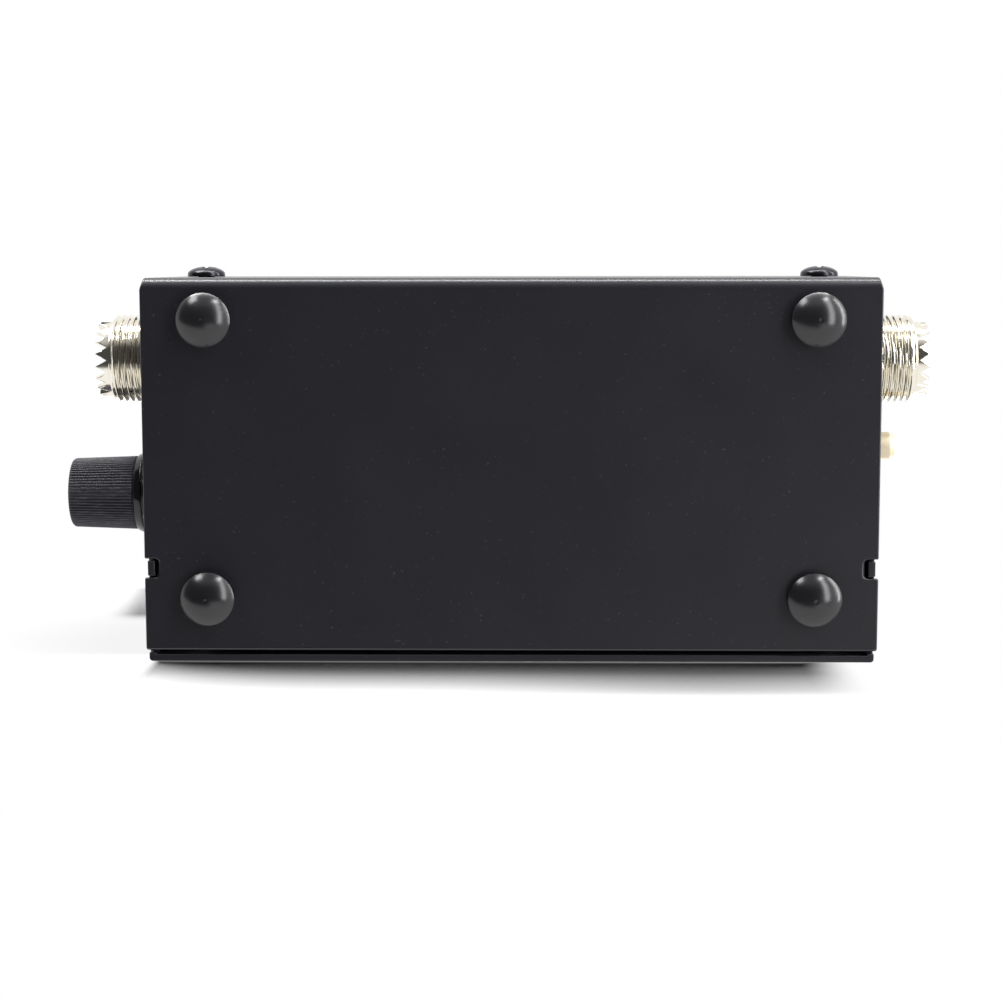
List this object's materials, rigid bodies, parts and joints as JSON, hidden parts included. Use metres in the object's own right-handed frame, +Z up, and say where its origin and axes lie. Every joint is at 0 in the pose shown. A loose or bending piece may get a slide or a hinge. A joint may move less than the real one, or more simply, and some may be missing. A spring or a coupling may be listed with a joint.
{
  "type": "swr meter",
  "caption": "Folded black steel SWR meter with a coaxial socket on each side, calibration knob, whip aerial socket, moving-coil meter and slide switch.",
  "frame": {"origin": "centre of the outer box's footprint, on the plane that the feet stand on", "axes": "+Z up, front panel with the meter faces -Y, +X is the side with the calibration knob, on the right seen from the front"},
  "size_m": [0.1538, 0.0678, 0.0488],
  "materials": {
    "black_paint": "satin powder coat, fine orange peel",
    "foot_rubber": "semi-gloss moulded",
    "black_screw": "black zinc",
    "nickel": "nickel plated, warm",
    "steel": "zinc plated",
    "brass": "turned",
    "copper": "drawn wire",
    "white_plastic": "satin",
    "black_plastic": "fine moulded grain",
    "brown_plastic": "phenolic",
    "board_green": "laminate",
    "clear_plastic": "clear",
    "diode_glass": "clear glass over a dark chip",
    "dial_white": "matt painted",
    "needle_red": "matt painted",
    "magnet_grey": "ground",
    "wire_sleeve": "soft sleeve"
  },
  "bodies": {
    "case": {"cover": "black_paint", "chassis": "black_paint", "foot_rear_left": "foot_rubber", "foot_rear_right": "foot_rubber", "foot_front_left": "foot_rubber", "foot_front_right": "foot_rubber", "left_case_screw": "black_screw", "right_case_screw": "black_screw", "left_socket_shell": "nickel", "right_socket_shell": "nickel", "left_socket_insulator": "white_plastic", "right_socket_insulator": "white_plastic", "left_socket_contact": "brass", "right_socket_contact": "brass", "left_socket_nut": "nickel", "right_socket_nut": "nickel", "coupler_trough": "brass", "through_line": "copper", "pickup_board": "board_green", "forward_pickup": "copper", "reflected_pickup": "copper", "forward_diode": "diode_glass", "reflected_diode": "diode_glass", "forward_resistor": "brown_plastic", "reflected_resistor": "brown_plastic", "control_body": "steel", "control_nut": "steel", "whip_socket": "brass", "whip_bush": "black_plastic", "whip_lug": "brass", "whip_nut": "brass", "meter_bezel": "black_plastic", "meter_window": "clear_plastic", "meter_housing": "black_plastic", "left_meter_screw": "black_screw", "right_meter_screw": "black_screw", "dial_plate": "dial_white", "core_magnet": "magnet_grey", "yoke_ring": "steel", "front_bridge": "brass", "hairspring": "brass", "left_terminal": "brass", "right_terminal": "brass", "switch_frame": "steel", "switch_body": "brown_plastic", "left_switch_screw": "black_screw", "right_switch_screw": "black_screw", "forward_wire": "wire_sleeve", "reflected_wire": "wire_sleeve", "switch_wire": "wire_sleeve", "wiper_wire": "wire_sleeve", "ground_wire": "wire_sleeve", "whip_wire": "wire_sleeve"},
    "knob": {"calibration_knob": "black_plastic", "control_shaft": "steel"},
    "movement": {"needle": "needle_red", "moving_coil": "copper"},
    "lever": {"switch_lever": "black_plastic"},
    "adjuster": {"zero_adjuster": "black_plastic"},
    "arm": {"adjuster_arm": "brass"}
  },
  "joints": [
    {"name": "knob_turn", "type": "hinge", "parent": "case", "child": "knob", "pos_m": [0.0597, -0.00702, 0.0263], "axis": [-1, 0, 0], "range_deg": [-150, 150]},
    {"name": "needle_swing", "type": "hinge", "parent": "case", "child": "movement", "pos_m": [-0.02475, -0.02293, 0.0174], "axis": [0, 1, 0], "range_deg": [0, 90], "stiffness_Nm_per_rad": 0.00002, "springref_deg": -11.46},
    {"name": "switch_slide", "type": "slide", "parent": "case", "child": "lever", "axis": [1, 0, 0], "range_m": [0, 0.004]},
    {"name": "adjuster_turn", "type": "hinge", "parent": "case", "child": "adjuster", "pos_m": [-0.02475, -0.03293, 0.013], "axis": [0, 1, 0], "range_deg": [-90, 90]},
    {"name": "arm_swing", "type": "hinge", "parent": "case", "child": "arm", "pos_m": [-0.02475, -0.03093, 0.0174], "axis": [0, 1, 0], "range_deg": [-11.7, 11.7]}
  ],
  "couplings": [
    {"joint": "arm_swing", "follows": "adjuster_turn", "ratio": 0.129}
  ]
}
